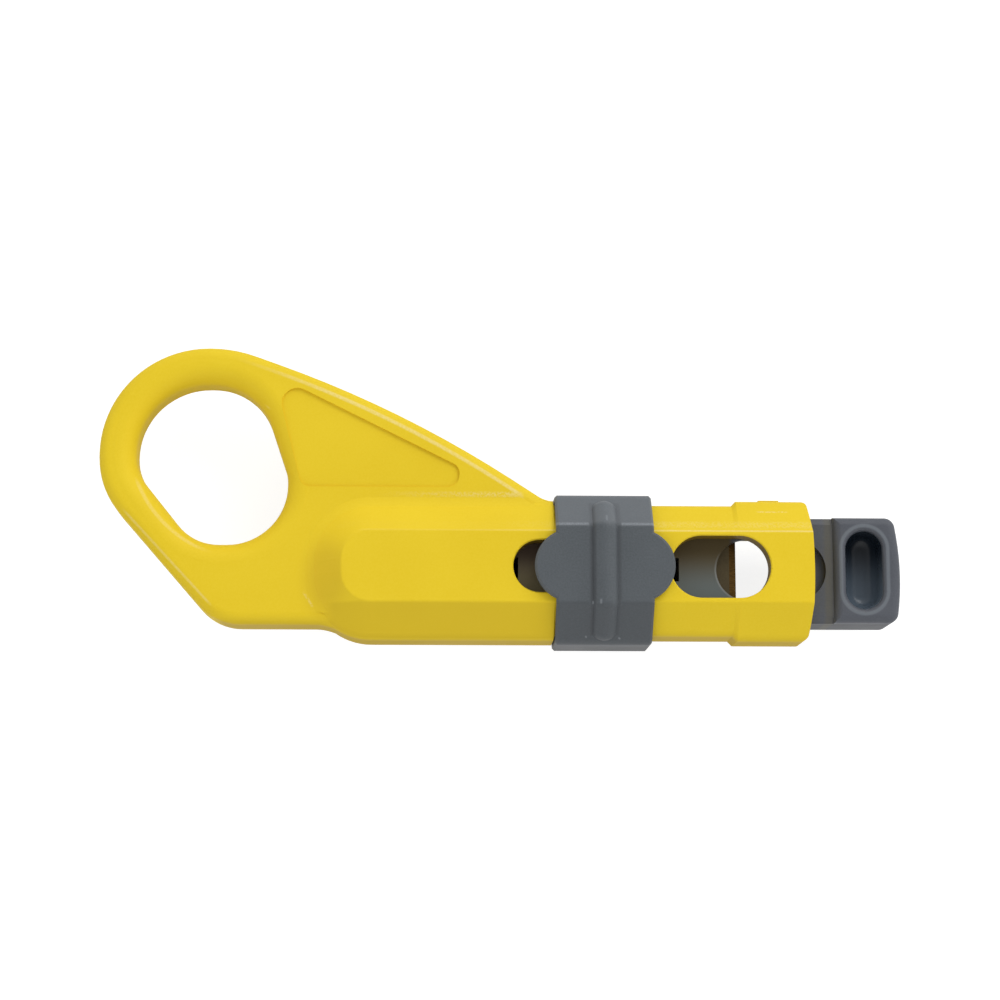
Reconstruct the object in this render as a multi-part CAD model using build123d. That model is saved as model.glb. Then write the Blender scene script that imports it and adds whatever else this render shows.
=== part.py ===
from build123d import *
import math
import os

# Lengths in millimetres, angles in degrees.
# The model is built about the tube's axis: X along the tube with the thumb pad at +X, Y towards
# the ring's high side, Z towards the front, which carries the cable port.

# Tube of the housing
tube_depth = 18.0  # front face to back face
front_width = 11.2  # flat front face between the two bevels
side_height = 9.1  # upright side between the front and back bevels
side_wall = 1.9  # between the bore and the side of the track
main_step = 0.7  # how far the left part stands above the track
collar_step = 0.75  # how far the collar stands above the track
shoulder_x = 8.3  # where the left part steps down to the track
collar_x = 36.7  # where the track begins to rise to the collar
collar_ramp = 0.7
collar_end_x = 49.2
collar_crown = 0.7  # how far the open end bulges at its middle
collar_corner = 1.1
mouth_depth = 1.0  # relief at the bore's mouth, which takes the pad's shoulder
crease_round = 0.6
side_round = 2.4
boss_left_x = -25.1  # left end of the flat front face
boss_corner = 4.6  # corner radius of the flat front face
foot_round = 4.0  # hollow blend from the bevels to the handle plate
foot_sink = 0.04  # how deep the blend's two ends run under the faces that they join
gate_pad_x = 41.1  # low pad on the collar's upper side
gate_pad_length = 3.3
gate_pad_width = 7.0
gate_pad_rise = 0.22

# Handle plate with the finger ring
plate_thickness = 10.0
ring_left_x = -63.8
ring_top_y = 35.7
plate_low_y = -8.75
heel_y = 12.8  # where the ring's left side turns into the slanted lower edge
heel_angle = 48.9  # slope of that slanted edge
brow_x = -42.7  # where the ring's top turns into the long sloping edge
bend_x = -15.8  # middle of the long edge's slight bow
bend_y = 26.1
slope_foot_x = 7.2  # where the long edge comes down to the tube
heel_low_round = 8.5
heel_high_round = 13.8
ring_top_round = 17.2
brow_round = 21.0
bow_radius = 180.0
slope_foot_round = 5.0
plate_edge_round = 1.8
hole_edge_round = 3.2
toe_left_x = -28.0  # where the plate's lower edge starts down to the tube
toe_angle = 20.0
toe_round = 8.0
toe_cover = 0.35  # how far the plate's lower edge then lies inside the tube's side

# Finger hole, as the tangent lines that its arcs join
hole_left_x = -58.0
hole_right_x = -33.9
hole_top_y = 30.0
hole_low_y = 4.1
hole_heel_y = 15.7
hole_heel_x = -48.7
hole_cheek_y = 15.1
hole_cheek_x = -38.9
hole_heel_high_round = 7.9
hole_heel_low_round = 8.3
hole_low_round = 9.6
hole_cheek_round = 6.0
hole_brow_round = 10.0
hole_top_round = 11.3

# Shallow panel in the web
panel_depth = 0.4
panel_left_x = -31.6
panel_right_x = -6.6
panel_low_y = 13.1
panel_right_top_y = 16.45
panel_peak_x = -36.2
panel_peak_y = 31.2
panel_rounds = (1.8, 2.0, 1.7, 2.5)

# Port, window and service opening in the tube's walls
port_left_x = 26.5
port_right_x = 42.3
port_height = 9.84
window_left_x = 1.8
window_right_x = 18.5
window_height = 8.26
rim_break = 0.2
service_left_x = 28.4
service_right_x = 44.4
service_margin = 0.05  # service opening's height below the pocket's
service_corner = 0.6

# Slider and its bore
bar_height = 16.8
bar_depth = 10.4
bar_chamfer = 1.1
bar_left_x = -12.5
bore_left_x = -16.0
bore_clearance = 0.15
thumb_stroke = 2.8
stroke_reserve = 0.2  # space left at the collar when the slider is pushed in
pad_rise = 1.1  # pad's front above the bar's front
pad_end_x = 63.3
pad_crown = 0.8
pad_skew = 1.0  # how far below the axis the bowed end stands out most
pad_corner = 1.7
pad_front_round = 1.3
pad_bow = 20.0  # radius of the line where the pad steps up from the bar
dimple_x = 57.5
dimple_margin = 1.35  # bar's side to the dimple's rim
dimple_width = 7.5
dimple_depth = 4.6
dimple_lip = 0.7
dimple_draft = 10.0
dimple_floor_round = 1.9
aperture_left_x = 34.05  # cable window in the slider's front wall
aperture_right_x = 51.5
aperture_height = 9.8
front_wall = 1.4
pocket_left_x = 29.1  # pocket for the blade carrier, open to the back
pocket_right_x = 46.0
pocket_wall = 1.7  # between the pocket and the bar's side

# Stop pin and the guide slot that it runs in
stop_pin_x = 23.5
stop_pin_diameter = 3.5
stop_pin_inset = 0.3
pin_fit = 0.02
slot_clearance = 0.12
slot_end_gap = 0.1

# Return spring on its guide rod
spring_outer_diameter = 3.4
spring_inner_diameter = 2.4
spring_slot_end_x = 2.7
spring_slot_clearance = 0.2
spring_end_gap = 0.1
guide_diameter = 1.9
guide_seat_depth = 4.0
guide_tip_gap = 2.4  # rod tip to the slot's end when the slider is pushed in

# Blade carrier
carrier_gap = 0.1
carrier_nose_x = 36.3
cover_thickness = 1.4
blade_thickness = 0.4
blade_margin = 0.6  # carrier's side to the blade's end
blade_spacing = 6.35
blade_bevel = 1.05
front_blade_edge_x = 37.4
back_blade_edge_x = 36.9
blade_length = 7.3
front_lip = 0.5  # carrier wall in front of the front blade
blade_slot_gap = 0.03
dowel_diameter = 1.6
dowel_x = 34.2
dowel_inset = 3.4  # dowel's axis to the carrier's side
dowel_fit = 0.02
screw_x = 31.6
screw_inset = 2.0  # screw's axis to the carrier's side
screw_diameter = 1.6
screw_reach = 2.4  # thread length in the carrier
screw_head_diameter = 3.0
screw_head_height = 0.8
screw_slot_width = 0.4
screw_slot_depth = 0.35
screw_clearance = 0.15

# Cover clip on the track
clip_gap = 0.15
clip_wall = 1.35
clip_left_x = 8.5
clip_width = 15.3
clip_edge_bevel = 0.35
clip_mouth = 6.8  # open width between the two lips on the back
ear_radius = 5.67
ear_overhang = 3.35  # how far each ear stands out beside the band
rib_width = 4.0
rib_rise = 1.25
rib_low_y = -9.2
rib_high_y = 8.4

# Half sizes and derived places
track_height = bar_height + 2 * (bore_clearance + side_wall)
main_height = track_height + 2 * main_step
collar_height = track_height + 2 * collar_step
pocket_height = bar_height - 2 * pocket_wall
service_height = pocket_height - 2 * service_margin
carrier_height = pocket_height - 2 * carrier_gap
blade_width = carrier_height - 2 * blade_margin
dowel_spacing = carrier_height - 2 * dowel_inset
screw_spacing = carrier_height - 2 * screw_inset
dimple_length = bar_height - 2 * dimple_margin
tube_half_depth = tube_depth / 2
front_half = front_width / 2
side_half = side_height / 2
main_half = main_height / 2
track_half = track_height / 2
collar_half = collar_height / 2
plate_half = plate_thickness / 2
bar_half = bar_height / 2
bar_half_depth = bar_depth / 2
crown_radius = (collar_half ** 2 + collar_crown ** 2) / (2 * collar_crown)
crown_centre_x = collar_end_x - crown_radius
corner_x = boss_left_x + boss_corner  # centres of the rounded corners at the tube's left end
corner_y = front_half - boss_corner
trim_x = shoulder_x + 2 * plate_edge_round
mouth_side_x = crown_centre_x + math.sqrt(crown_radius ** 2 - bar_half ** 2) - mouth_depth
pad_side_x = mouth_side_x + thumb_stroke + stroke_reserve
clip_outer_grow = clip_gap + clip_wall
clip_front_z = tube_half_depth + clip_outer_grow


def oblong(left, right, height):
    """Flat face with two half-round ends, between two places along X."""
    return Pos((left + right) / 2, 0) * SlotOverall(right - left, height)


def tube_section(half_height, grow=0.0):
    """Eight-sided section of the tube, with rounded creases, in Y and Z."""
    bevel_run = half_height - front_half
    bevel_rise = tube_half_depth - side_half
    bevel_length = math.hypot(bevel_run, bevel_rise)
    crease_shift = grow * (bevel_length - bevel_run) / bevel_rise
    side_shift = grow * (bevel_length - bevel_rise) / bevel_run
    y_front = front_half + crease_shift
    y_side = half_height + grow
    z_front = tube_half_depth + grow
    z_side = side_half + side_shift
    corners = [
        (y_front, z_front),
        (y_side, z_side),
        (y_side, -z_side),
        (y_front, -z_front),
        (-y_front, -z_front),
        (-y_side, -z_side),
        (-y_side, z_side),
        (-y_front, z_front),
    ]
    rounds = [crease_round, side_round, side_round, crease_round]
    return make_face(FilletPolyline(*corners, radius=rounds * 2, close=True))


def tube_run(half_height, start_x, end_x, grow=0.0):
    """The tube's section carried along X."""
    section = Plane.YZ.offset(start_x) * tube_section(half_height, grow)
    return extrude(section, amount=end_x - start_x)


def bar_section(grow=0.0):
    """Chamfered bar section of the slider, and of its bore, in Y and Z."""
    rectangle = Rectangle(bar_height + 2 * grow, bar_depth + 2 * grow)
    leg = bar_chamfer + grow * (2 - math.sqrt(2))
    return chamfer(rectangle.vertices(), leg)


def bar_run(start_x, end_x, grow=0.0):
    """The slider's bar section carried along X."""
    section = Plane.YZ.offset(start_x) * bar_section(grow)
    return extrude(section, amount=end_x - start_x)


def crown_disc(gap):
    """Upright disc whose rim is the bowed end line of the collar, moved out by a gap."""
    return Pos(crown_centre_x, 0, 0) * Cylinder(crown_radius + gap, 3 * tube_depth)


def block(x_low, x_high, height, z_low, z_high):
    """Upright block, centred on the axis."""
    plan = Pos((x_low + x_high) / 2, 0, z_low) * Rectangle(x_high - x_low, height)
    return extrude(plan, amount=z_high - z_low)


def upright_rod(x, y, diameter, z_low, z_high):
    """Round rod or hole along Z."""
    return extrude(Pos(x, y, z_low) * Circle(diameter / 2), amount=z_high - z_low)


# Housing

def plate_outline():
    """Plan of ring and web, carried on under the tube as far as past its shoulder."""
    heel_low_x = ring_left_x + (heel_y - plate_low_y) / math.tan(math.radians(heel_angle))
    covered_y = toe_cover - main_half
    toe_right_x = toe_left_x + (plate_low_y - covered_y) / math.tan(math.radians(toe_angle))
    corners = [
        (trim_x, covered_y),
        (toe_right_x, covered_y),
        (toe_left_x, plate_low_y),
        (heel_low_x, plate_low_y),
        (ring_left_x, heel_y),
        (ring_left_x, ring_top_y),
        (brow_x, ring_top_y),
        (bend_x, bend_y),
        (slope_foot_x, main_half),
        (trim_x, main_half),
    ]
    rounds = [0, toe_round, toe_round, heel_low_round, heel_high_round, ring_top_round]
    rounds += [brow_round, bow_radius, slope_foot_round, 0]
    return make_face(FilletPolyline(*corners, radius=rounds, close=True))


def finger_hole():
    """Plan of the finger hole."""
    lines = [
        (hole_left_x, hole_heel_y),
        (hole_heel_x, hole_low_y),
        (hole_right_x, hole_low_y),
        (hole_right_x, hole_cheek_y),
        (hole_cheek_x, hole_top_y),
        (hole_left_x, hole_top_y),
    ]
    rounds = [
        hole_heel_high_round,
        hole_heel_low_round,
        hole_low_round,
        hole_cheek_round,
        hole_brow_round,
        hole_top_round,
    ]
    return make_face(FilletPolyline(*lines, radius=rounds, close=True))


def handle_plate():
    """Ring and web: one flat plate with rounded edges and the finger hole."""
    plate = extrude(plate_outline(), amount=plate_half, both=True)
    plate = fillet(plate.faces().filter_by(Axis.Z).edges(), plate_edge_round)
    plate -= block(shoulder_x, 2 * trim_x, 4 * main_height, -plate_thickness, plate_thickness)
    plate -= extrude(finger_hole(), amount=plate_thickness, both=True)
    for side in (0, -1):
        face = plate.faces().filter_by(Axis.Z).sort_by(Axis.Z)[side]
        plate = fillet(face.inner_wires().edges(), hole_edge_round)
    return plate


def turned_end(profile):
    """A profile of radius and Z, carried round both corners of the tube's left end."""
    quarter = revolve(Plane.XZ * profile, Axis.Z, revolution_arc=90)
    upper = Pos(corner_x, corner_y, 0) * Rot(0, 0, 90) * quarter
    lower = Pos(corner_x, -corner_y, 0) * Rot(0, 0, 180) * quarter
    left = Plane(origin=(corner_x, -corner_y, 0), x_dir=(-1, 0, 0), z_dir=(0, 1, 0))
    return upper + lower + extrude(left * profile, amount=2 * corner_y)


def tube_boss():
    """Left part of the tube, whose section also runs round its left end."""
    outside = Pos(corner_y + main_height, 0) * Rectangle(2 * main_height, 2 * tube_depth)
    profile = Pos(-corner_y, 0) * (tube_section(main_half) & outside)
    return turned_end(profile) + tube_run(main_half, corner_x, shoulder_x)


def foot_blend():
    """Hollow blend between the front bevels and the plate, on the plate's flat area."""
    run = main_half - front_half
    rise = tube_half_depth - side_half
    slant = math.hypot(run, rise)
    near = foot_round - foot_sink
    centre_z = plate_half + near
    centre_r = boss_corner + (near * slant - (centre_z - tube_half_depth) * run) / rise
    start = (centre_r - foot_round * rise / slant, centre_z - foot_round * run / slant)
    hollow = JernArc(start, (run, -rise), foot_round, math.degrees(math.atan2(rise, run)))
    low_z = plate_half - plate_edge_round
    close = Polyline(hollow @ 1, (centre_r, low_z), (boss_corner, low_z), start)
    profile = make_face([hollow, close])
    upper_corner = Plane.YZ.offset(corner_x) * Pos(corner_y, 0)
    upper = extrude(upper_corner * profile, amount=shoulder_x - corner_x)
    blend = turned_end(profile) + upper + mirror(upper, Plane.XZ)
    flat = offset(plate_outline(), amount=-plate_edge_round)
    return blend & extrude(flat, amount=tube_depth)


def web_panel():
    """Cutter for the shallow rounded panel in the web."""
    corners = [
        (panel_left_x, panel_low_y),
        (panel_right_x, panel_low_y),
        (panel_right_x, panel_right_top_y),
        (panel_peak_x, panel_peak_y),
    ]
    outline = make_face(FilletPolyline(*corners, radius=list(panel_rounds), close=True))
    return extrude(Pos(0, 0, plate_half - panel_depth) * outline, amount=2 * panel_depth)


def collar_body():
    """Raised collar with its ramp, bowed end and the low pad on its upper side."""
    ramp_end = collar_x + collar_ramp
    ramp = loft(
        [
            Plane.YZ.offset(collar_x) * tube_section(track_half),
            Plane.YZ.offset(ramp_end) * tube_section(collar_half),
        ],
        ruled=True,
    )
    plan = Pos(collar_end_x - 2 * collar_height, 0) * Rectangle(4 * collar_height, collar_height)
    plan &= Pos(crown_centre_x, 0) * Circle(crown_radius)
    plan = fillet(plan.vertices().sort_by(Axis.X)[-2:], collar_corner)
    collar = tube_run(collar_half, ramp_end, collar_end_x)
    collar &= extrude(plan, amount=tube_depth, both=True)
    pad = Pos(gate_pad_x + gate_pad_length / 2, collar_half - gate_pad_rise, 0) * Box(
        gate_pad_length, 4 * gate_pad_rise, gate_pad_width
    )
    return ramp + collar + fillet(pad.edges().filter_by(Axis.Y), gate_pad_rise)


def front_opening(left, right, height):
    """Cutter for an oblong opening in the front wall, with its rim broken at 45 degrees."""
    rim = oblong(left - rim_break, right + rim_break, height + 2 * rim_break)
    rim_cut = extrude(Pos(0, 0, tube_half_depth) * rim, amount=-rim_break, taper=45)
    return extrude(oblong(left, right, height), amount=tube_depth) + rim_cut


def service_opening():
    """Cutter for the opening in the back wall, over the blades."""
    opening = block(service_left_x, service_right_x, service_height, -tube_depth, 0)
    return fillet(opening.edges().filter_by(Axis.Z), service_corner)


def bore_mouth():
    """Cutter for the relief at the front of the bore's mouth."""
    height = bar_height + 2 * bore_clearance
    front_z = bar_half_depth + pad_rise + bore_clearance
    relief = block(collar_x, collar_end_x + collar_height, height, 0, front_z)
    return relief - crown_disc(-mouth_depth)


def make_housing():
    """The yellow moulding: ring, web, tube and collar, with the bore and its openings."""
    blend = foot_blend()
    body = handle_plate() + tube_boss() + blend + mirror(blend, Plane.XY)
    body += tube_run(track_half, shoulder_x - main_height / 4, collar_x)
    body += collar_body()
    body -= web_panel()
    body -= bar_run(bore_left_x, collar_end_x + collar_crown, bore_clearance)
    body -= front_opening(port_left_x, port_right_x, port_height)
    body -= front_opening(window_left_x, window_right_x, window_height)
    body -= service_opening()
    body -= bore_mouth()
    hole = stop_pin_diameter + 2 * pin_fit
    body -= upright_rod(stop_pin_x, 0, hole, -tube_depth, tube_depth)
    body -= guide_rod(guide_diameter / 2 + pin_fit, guide_seat_depth + pin_fit, 0)
    return body


# Slider and what it carries

def make_slider():
    """Bar in the bore, with the thumb pad outside, its slots and the carrier's pocket."""
    bar = bar_run(bar_left_x, dimple_x)
    pad_plan = Pos(pad_end_x - 2 * bar_height, 0) * Rectangle(4 * bar_height, bar_height)
    end_radius = (bar_half ** 2 + pad_crown ** 2) / (2 * pad_crown)
    pad_plan &= Pos(pad_end_x - end_radius, -pad_skew) * Circle(end_radius)
    pad_plan = fillet(pad_plan.vertices().sort_by(Axis.X)[-2:], pad_corner)
    bow_centre_x = pad_side_x - math.sqrt(pad_bow ** 2 - bar_half ** 2)
    pad_plan -= Pos(bow_centre_x, 0) * Rectangle(2 * pad_bow, bar_height)
    pad_plan -= Pos(bow_centre_x, 0) * Circle(pad_bow)
    pad_plan = pad_plan.faces().sort_by(Axis.X)[-1]
    pad = extrude(Pos(0, 0, -bar_half_depth) * pad_plan, amount=bar_depth + pad_rise)
    pad = fillet(pad.faces().sort_by(Axis.Z)[-1].edges(), pad_front_round)
    pad = chamfer(pad.faces().sort_by(Axis.Z)[0].edges(), bar_chamfer)
    front_z = bar_half_depth + pad_rise
    floor_size = (dimple_length - 2 * dimple_lip, dimple_width - 2 * dimple_lip)
    dimple = Pos(dimple_x, 0, front_z) * Rot(0, 0, 90) * SlotOverall(*floor_size)
    scoop = extrude(dimple, amount=-dimple_depth, taper=dimple_draft)
    scoop = fillet(scoop.faces().sort_by(Axis.Z)[0].edges(), dimple_floor_round)
    pad -= scoop
    rim = pad.faces().filter_by(Axis.Z).sort_by(Axis.Z)[-1].inner_wires().edges()
    pad = fillet(rim, dimple_lip)
    body = bar + pad - scoop
    wall_z = bar_half_depth - front_wall
    aperture = Pos(0, 0, wall_z) * oblong(aperture_left_x, aperture_right_x, aperture_height)
    body -= extrude(aperture, amount=bar_depth)
    body -= block(pocket_left_x, pocket_right_x, pocket_height, -bar_depth, wall_z)
    slot_left = stop_pin_x - stop_pin_diameter / 2 - slot_end_gap
    slot_right = stop_pin_x + stop_pin_diameter / 2 + slot_end_gap + thumb_stroke
    slot_height = stop_pin_diameter + 2 * slot_clearance
    body -= Pos((slot_left + slot_right) / 2, 0, 0) * Box(
        slot_right - slot_left, slot_height, 2 * bar_depth
    )
    spring_slot = spring_slot_end_x - bar_left_x
    body -= Pos(spring_slot_end_x - spring_slot, 0, 0) * Box(
        2 * spring_slot, spring_outer_diameter + 2 * spring_slot_clearance, 2 * bar_depth
    )
    return body


def make_stop_pin():
    """Cross pin in both walls of the tube."""
    end_z = tube_half_depth - stop_pin_inset
    pin = upright_rod(stop_pin_x, 0, stop_pin_diameter, -end_z, end_z)
    return chamfer(pin.edges(), stop_pin_inset)


def guide_rod(radius, seat, reach):
    """Round rod along the tube's axis, from its seat in the bore's end wall."""
    start = Plane.YZ.offset(bore_left_x - seat)
    return extrude(start * Circle(radius), amount=seat + reach)


def make_return_spring():
    """Envelope of the compression spring, from the bore's end wall to the slider."""
    ring = Circle(spring_outer_diameter / 2) - Circle(spring_inner_diameter / 2)
    length = spring_slot_end_x - spring_end_gap - bore_left_x
    return extrude(Plane.YZ.offset(bore_left_x) * ring, amount=length)


carrier_left_x = pocket_left_x + carrier_gap
carrier_front_z = bar_half_depth - front_wall - carrier_gap
front_blade_z = carrier_front_z - front_lip - blade_slot_gap - blade_thickness / 2
back_blade_z = front_blade_z - blade_spacing
carrier_back_z = back_blade_z + blade_thickness / 2
cover_front_z = back_blade_z - blade_thickness / 2
cover_back_z = cover_front_z - cover_thickness
head_seat_z = cover_back_z + screw_head_height


def at_dowels(diameter, z_low, z_high):
    """Two rods or holes at the dowels' places, upper one first."""
    places = (dowel_spacing / 2, -dowel_spacing / 2)
    return [upright_rod(dowel_x, y, diameter, z_low, z_high) for y in places]


def at_screws(diameter, z_low, z_high):
    """Two rods or holes at the screws' places, upper one first."""
    places = (screw_spacing / 2, -screw_spacing / 2)
    return [upright_rod(screw_x, y, diameter, z_low, z_high) for y in places]


def make_blade(edge_x, z, cutters):
    """Flat blade, ground from both faces to an edge at its +X side."""
    half = blade_thickness / 2
    tail_x = edge_x - blade_length
    ground_x = edge_x - blade_bevel
    profile = Polyline(
        (tail_x, half), (ground_x, half), (edge_x, 0), (ground_x, -half), (tail_x, -half), close=True
    )
    section = Pos(0, 0, z) * (Plane.XZ * make_face(profile))
    blade = extrude(section, amount=blade_width / 2, both=True)
    for cutter in cutters:
        blade -= cutter
    return blade


def make_carrier():
    """Moulded block that holds the front blade in a slot and the back blade on its back."""
    body = block(carrier_left_x, carrier_nose_x, carrier_height, carrier_back_z, carrier_front_z)
    slot_left = front_blade_edge_x - blade_length - blade_slot_gap
    slot_size = 2 * (carrier_nose_x - slot_left)
    body -= Pos(slot_left + slot_size / 2, 0, front_blade_z) * Box(
        slot_size, blade_width + 2 * blade_slot_gap, blade_thickness + 2 * blade_slot_gap
    )
    dowel_top = carrier_front_z - front_lip / 2
    for hole in at_dowels(dowel_diameter + 2 * dowel_fit, carrier_back_z, dowel_top):
        body -= hole
    screw_top = carrier_back_z + screw_reach + dowel_fit
    for hole in at_screws(screw_diameter + 2 * dowel_fit, carrier_back_z, screw_top):
        body -= hole
    return body


def make_cover():
    """Plate that clamps the back blade, with sunk seats for the two screw heads."""
    body = block(carrier_left_x, carrier_nose_x, carrier_height, cover_back_z, cover_front_z)
    for hole in at_dowels(dowel_diameter + 2 * dowel_fit, cover_back_z, cover_front_z):
        body -= hole
    for hole in at_screws(screw_diameter + 2 * screw_clearance, cover_back_z, cover_front_z):
        body -= hole
    seat = screw_head_diameter + 2 * screw_clearance
    for hole in at_screws(seat, cover_back_z, head_seat_z):
        body -= hole
    return body


def make_screws():
    """Two slotted pan-head screws, upper one first."""
    tip_z = carrier_back_z + screw_reach
    shanks = at_screws(screw_diameter, head_seat_z, tip_z)
    heads = at_screws(screw_head_diameter, cover_back_z, head_seat_z)
    screws = []
    for shank, head in zip(shanks, heads):
        place = head.center()
        slot = Pos(place.X, place.Y, cover_back_z) * Box(
            screw_head_diameter, screw_slot_width, 2 * screw_slot_depth
        )
        screws.append(shank + head - slot)
    return screws


# Cover clip

def make_clip():
    """Band round the track, open at the back, with an ear at each side and a raised rib."""
    right_x = clip_left_x + clip_width
    outer = tube_run(track_half, clip_left_x, right_x, clip_outer_grow)
    outer = chamfer(outer.faces().filter_by(Axis.X).edges(), clip_edge_bevel)
    ear_low_z = tube_half_depth + clip_gap
    for centre_x in (
        clip_left_x - ear_overhang + ear_radius,
        right_x + ear_overhang - ear_radius,
    ):
        ear = upright_rod(centre_x, 0, 2 * ear_radius, ear_low_z, clip_front_z)
        outer += chamfer(ear.faces().sort_by(Axis.Z)[-1].edges(), clip_edge_bevel)
    rib_radius = (rib_width ** 2 / 4 + rib_rise ** 2) / (2 * rib_rise)
    sink = rib_radius - rib_rise - clip_outer_grow
    slope = (tube_half_depth - side_half) / (track_half - front_half)
    middle_x = clip_left_x + clip_width / 2
    rib_line = [
        Vector(middle_x, rib_low_y, tube_half_depth - sink - slope * (-rib_low_y - front_half)),
        Vector(middle_x, -front_half, tube_half_depth - sink),
        Vector(middle_x, front_half, tube_half_depth - sink),
        Vector(middle_x, rib_high_y, tube_half_depth - sink - slope * (rib_high_y - front_half)),
    ]
    for start, end in zip(rib_line, rib_line[1:]):
        run = Plane(origin=start, z_dir=end - start) * Cylinder(
            rib_radius, (end - start).length, align=(Align.CENTER, Align.CENTER, Align.MIN)
        )
        outer += run
    for point in rib_line:
        outer += Pos(point) * Sphere(rib_radius)
    overlap = ear_overhang + rib_width
    outer -= tube_run(track_half, clip_left_x - overlap, right_x + overlap, clip_gap)
    mouth = Pos(middle_x, 0, -tube_half_depth) * Box(
        2 * clip_width, clip_mouth, 2 * (clip_outer_grow + clip_gap)
    )
    return outer - mouth


upper_dowel, lower_dowel = at_dowels(
    dowel_diameter, cover_back_z, carrier_front_z - front_lip / 2
)
upper_screw, lower_screw = make_screws()
dowel_holes = at_dowels(dowel_diameter + 2 * dowel_fit, -bar_depth, bar_depth)
screw_holes = at_screws(screw_diameter + 2 * screw_clearance, -bar_depth, bar_depth)
guide_reach = spring_slot_end_x - thumb_stroke - guide_tip_gap - bore_left_x

pieces = {
    "housing": make_housing(),
    "slider": make_slider(),
    "stop_pin": make_stop_pin(),
    "return_spring": make_return_spring(),
    "spring_guide": guide_rod(guide_diameter / 2, guide_seat_depth, guide_reach),
    "blade_carrier": make_carrier(),
    "carrier_cover": make_cover(),
    "front_blade": make_blade(front_blade_edge_x, front_blade_z, dowel_holes),
    "back_blade": make_blade(back_blade_edge_x, back_blade_z, dowel_holes + screw_holes),
    "upper_dowel": upper_dowel,
    "lower_dowel": lower_dowel,
    "upper_screw": upper_screw,
    "lower_screw": lower_screw,
    "cover_clip": make_clip(),
}

# The origin lies under the middle of the tool, on the surface that it rests on
clip_low_y = -(track_half + clip_outer_grow)
seat = Pos(
    -(ring_left_x + pad_end_x) / 2,
    -(ring_top_y + clip_low_y) / 2,
    clip_front_z,
)

os.makedirs("parts", exist_ok=True)
for name, piece in pieces.items():
    export_step(seat * piece, f"parts/{name}.step")
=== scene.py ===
import bpy
from mathutils import Matrix, Vector


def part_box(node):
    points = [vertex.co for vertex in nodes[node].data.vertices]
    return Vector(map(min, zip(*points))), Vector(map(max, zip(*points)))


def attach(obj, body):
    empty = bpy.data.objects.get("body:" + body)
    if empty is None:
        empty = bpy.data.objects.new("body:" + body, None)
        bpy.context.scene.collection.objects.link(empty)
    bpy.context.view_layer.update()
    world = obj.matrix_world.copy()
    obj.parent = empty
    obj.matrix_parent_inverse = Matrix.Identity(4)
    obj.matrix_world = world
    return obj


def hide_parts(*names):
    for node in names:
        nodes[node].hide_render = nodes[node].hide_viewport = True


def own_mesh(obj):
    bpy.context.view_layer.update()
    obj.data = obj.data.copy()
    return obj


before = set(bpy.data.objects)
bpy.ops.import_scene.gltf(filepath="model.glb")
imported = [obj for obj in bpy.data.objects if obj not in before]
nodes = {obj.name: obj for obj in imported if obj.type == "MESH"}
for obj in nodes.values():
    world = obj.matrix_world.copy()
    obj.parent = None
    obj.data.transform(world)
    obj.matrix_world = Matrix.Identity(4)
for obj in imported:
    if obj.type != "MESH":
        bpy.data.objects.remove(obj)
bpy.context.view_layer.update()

mm = 0.001
print("frame loaded:", len(nodes), "pieces")


def middle(name):
    low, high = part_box(name)
    return (low + high) / 2


# The marks' places are in millimetres about the tube's axis, as the part's own sizes are
stopPinMm = 23.5  # where the stop pin stands along it
guideAxis = middle("spring_guide")
tubeOrigin = Vector((middle("stop_pin").x - stopPinMm * mm, guideAxis.y, guideAxis.z))

# The Mix node's colour sockets, which share their names with its other sockets
mixSockets = {"first": 6, "second": 7, "result": 2}
# The noise values that become 0 and 1 in clouds, grain and speckles
noiseSpread = (0.3, 0.7)
grainSpread = (0.35, 0.65)
speckleSpread = (0.38, 0.62)


# Node helpers
def newMaterial(name):
    material = bpy.data.materials.new(name)
    material.use_nodes = True
    tree = material.node_tree
    tree.nodes.clear()
    output = tree.nodes.new("ShaderNodeOutputMaterial")
    shader = tree.nodes.new("ShaderNodeBsdfPrincipled")
    tree.links.new(shader.outputs["BSDF"], output.inputs["Surface"])
    return material, tree, shader


def objectPoint(tree):
    return tree.nodes.new("ShaderNodeTexCoord").outputs["Object"]


def put(tree, source, socket):
    if isinstance(source, bpy.types.NodeSocket):
        tree.links.new(source, socket)
    else:
        socket.default_value = source


def mathNode(tree, operation, *values):
    node = tree.nodes.new("ShaderNodeMath")
    node.operation = operation
    for socket, value in zip(node.inputs, values):
        put(tree, value, socket)
    return node.outputs[0]


def mapRange(tree, value, fromLow, fromHigh, toLow=0.0, toHigh=1.0, smooth=False):
    node = tree.nodes.new("ShaderNodeMapRange")
    node.interpolation_type = "SMOOTHSTEP" if smooth else "LINEAR"
    for socket, item in zip(node.inputs, (value, fromLow, fromHigh, toLow, toHigh)):
        put(tree, item, socket)
    return node.outputs["Result"]


def noise(tree, point, sizeMm, detail=2.0, roughness=0.5):
    node = tree.nodes.new("ShaderNodeTexNoise")
    tree.links.new(point, node.inputs["Vector"])
    node.inputs["Scale"].default_value = 1 / (sizeMm * mm)
    node.inputs["Detail"].default_value = detail
    node.inputs["Roughness"].default_value = roughness
    return node.outputs["Fac"]


def mixColour(tree, factor, first, second):
    node = tree.nodes.new("ShaderNodeMix")
    node.data_type = "RGBA"
    put(tree, factor, node.inputs["Factor"])
    put(tree, first, node.inputs[mixSockets["first"]])
    put(tree, second, node.inputs[mixSockets["second"]])
    return node.outputs[mixSockets["result"]]


def bump(tree, height, depthMm, strength):
    node = tree.nodes.new("ShaderNodeBump")
    node.inputs["Strength"].default_value = strength
    node.inputs["Distance"].default_value = depthMm * mm
    tree.links.new(height, node.inputs["Height"])
    return node.outputs["Normal"]


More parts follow.
